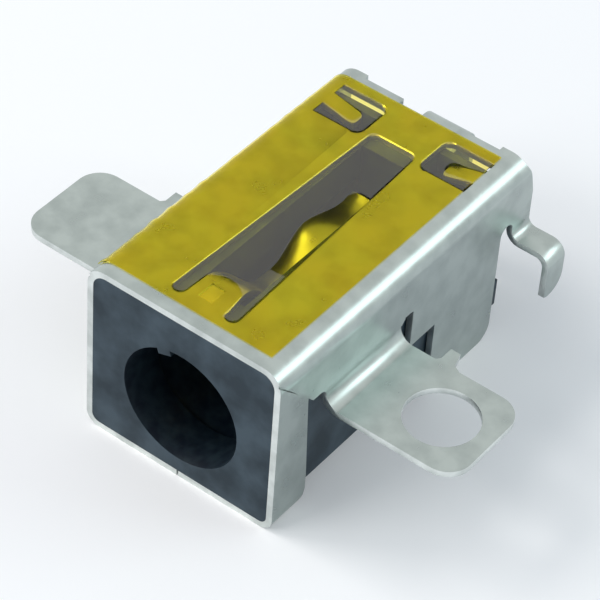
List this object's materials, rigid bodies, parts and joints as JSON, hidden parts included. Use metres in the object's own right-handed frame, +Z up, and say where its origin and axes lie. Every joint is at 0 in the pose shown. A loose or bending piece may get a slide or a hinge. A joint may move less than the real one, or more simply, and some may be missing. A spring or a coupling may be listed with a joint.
{
  "type": "dc barrel jack",
  "caption": "Shielded DC power jack with a round plug bore, a sprung contact finger, two fixing ears and bent solder hooks.",
  "frame": {"origin": "the plug bore's axis where it meets the mouth's plane", "axes": "+Y from the mouth towards the rear terminal, +X to the right seen from the mouth, +Z up, towards the taped top plate"},
  "size_m": [0.0166, 0.0138, 0.0066],
  "materials": {
    "shield": "satin bright tin plate over brass sheet",
    "housing": "matte black moulded nylon",
    "centre_pin": "plated turned pin",
    "centre_terminal": "bright plated strip",
    "insulating_tape": "clear amber polyimide film"
  },
  "bodies": {
    "root": {"shield": "shield", "housing": "housing", "centre_pin": "centre_pin", "centre_terminal": "centre_terminal", "insulating_tape": "insulating_tape"}
  },
  "joints": []
}
